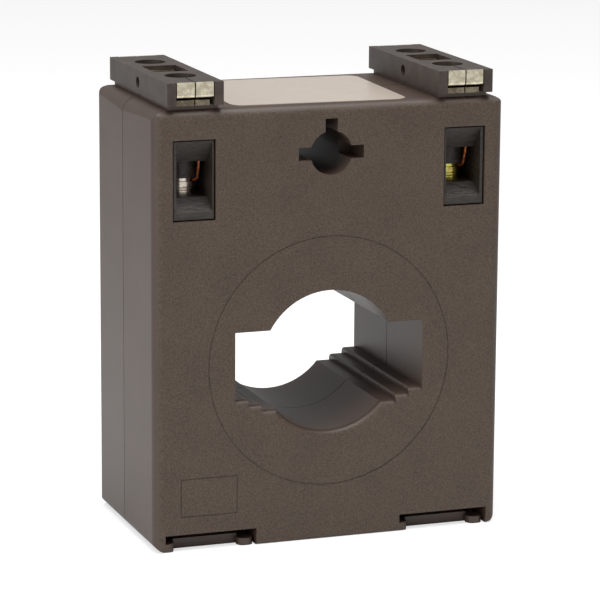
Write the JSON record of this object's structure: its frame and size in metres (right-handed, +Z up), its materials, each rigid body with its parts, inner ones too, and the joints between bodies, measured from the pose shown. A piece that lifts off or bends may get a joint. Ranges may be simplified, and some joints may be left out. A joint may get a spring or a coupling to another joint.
{
  "type": "current transformer",
  "caption": "Window-type current transformer: a moulded case round a ring core, open for a busbar or cable, with clamp screw terminals on top.",
  "frame": {"origin": "centre of the base's underside", "axes": "+X to the right seen from the front, -Y to the front with the wiring pockets and the bare mark field, +Z up"},
  "size_m": [0.0756, 0.0404, 0.0963],
  "materials": {
    "case_plastic": "fine spark-eroded grain, dull",
    "core_steel": "strip edges, satin",
    "insulation": "dull film",
    "winding_copper": "enamelled copper wire, glossy",
    "winding_tape": "polyester tape",
    "carrier_plastic": "smooth moulded",
    "post_silver": "bright nickel plating",
    "post_yellow": "yellow zinc plating",
    "strip_plated": "dull tin plating",
    "plate_nickel": "nickel plating, finely pitted",
    "screw_zinc": "zinc plating",
    "block_plastic": "smooth top, dull ends",
    "label_foil": "silver-grey film, glossy"
  },
  "bodies": {
    "case": {"front_shell": "case_plastic", "rear_shell": "case_plastic", "core_ring": "core_steel", "core_insulation": "insulation", "secondary_winding": "winding_copper", "winding_tape": "winding_tape", "lead_left": "winding_copper", "lead_right": "winding_copper", "terminal_carrier_left": "carrier_plastic", "terminal_carrier_right": "carrier_plastic", "terminal_post_front_left": "post_silver", "terminal_post_front_right": "post_yellow", "terminal_post_rear_left": "post_silver", "terminal_post_rear_right": "post_yellow", "bus_strip_left": "strip_plated", "bus_strip_right": "strip_plated", "terminal_block_left": "block_plastic", "terminal_block_right": "block_plastic", "rating_label": "label_foil"},
    "clamp_plate_front_left": {"clamp_plate_front_left": "plate_nickel"},
    "clamp_screw_front_left": {"clamp_screw_front_left": "screw_zinc"},
    "clamp_plate_front_right": {"clamp_plate_front_right": "plate_nickel"},
    "clamp_screw_front_right": {"clamp_screw_front_right": "screw_zinc"},
    "clamp_plate_rear_left": {"clamp_plate_rear_left": "plate_nickel"},
    "clamp_screw_rear_left": {"clamp_screw_rear_left": "screw_zinc"},
    "clamp_plate_rear_right": {"clamp_plate_rear_right": "plate_nickel"},
    "clamp_screw_rear_right": {"clamp_screw_rear_right": "screw_zinc"}
  },
  "joints": [
    {"name": "clamp_lift_front_left", "type": "slide", "parent": "case", "child": "clamp_plate_front_left", "axis": [0, 0, 1], "range_m": [-0.0004, 0.00055]},
    {"name": "screw_turn_front_left", "type": "hinge", "parent": "clamp_plate_front_left", "child": "clamp_screw_front_left", "pos_m": [-0.02886, -0.0103, 0.09375], "axis": [0, 0, 1], "range_deg": [-210, 290]},
    {"name": "clamp_lift_front_right", "type": "slide", "parent": "case", "child": "clamp_plate_front_right", "axis": [0, 0, 1], "range_m": [-0.0004, 0.00055]},
    {"name": "screw_turn_front_right", "type": "hinge", "parent": "clamp_plate_front_right", "child": "clamp_screw_front_right", "pos_m": [0.02886, -0.0103, 0.09375], "axis": [0, 0, 1], "range_deg": [-210, 290]},
    {"name": "clamp_lift_rear_left", "type": "slide", "parent": "case", "child": "clamp_plate_rear_left", "axis": [0, 0, 1], "range_m": [-0.0004, 0.00055]},
    {"name": "screw_turn_rear_left", "type": "hinge", "parent": "clamp_plate_rear_left", "child": "clamp_screw_rear_left", "pos_m": [-0.02886, 0.0103, 0.09375], "axis": [0, 0, 1], "range_deg": [-210, 290]},
    {"name": "clamp_lift_rear_right", "type": "slide", "parent": "case", "child": "clamp_plate_rear_right", "axis": [0, 0, 1], "range_m": [-0.0004, 0.00055]},
    {"name": "screw_turn_rear_right", "type": "hinge", "parent": "clamp_plate_rear_right", "child": "clamp_screw_rear_right", "pos_m": [0.02886, 0.0103, 0.09375], "axis": [0, 0, 1], "range_deg": [-210, 290]}
  ],
  "couplings": [
    {"joint": "screw_turn_front_left", "follows": "clamp_lift_front_left", "rad_per_m": 8976},
    {"joint": "screw_turn_front_right", "follows": "clamp_lift_front_right", "rad_per_m": 8976},
    {"joint": "screw_turn_rear_left", "follows": "clamp_lift_rear_left", "rad_per_m": 8976},
    {"joint": "screw_turn_rear_right", "follows": "clamp_lift_rear_right", "rad_per_m": 8976}
  ]
}
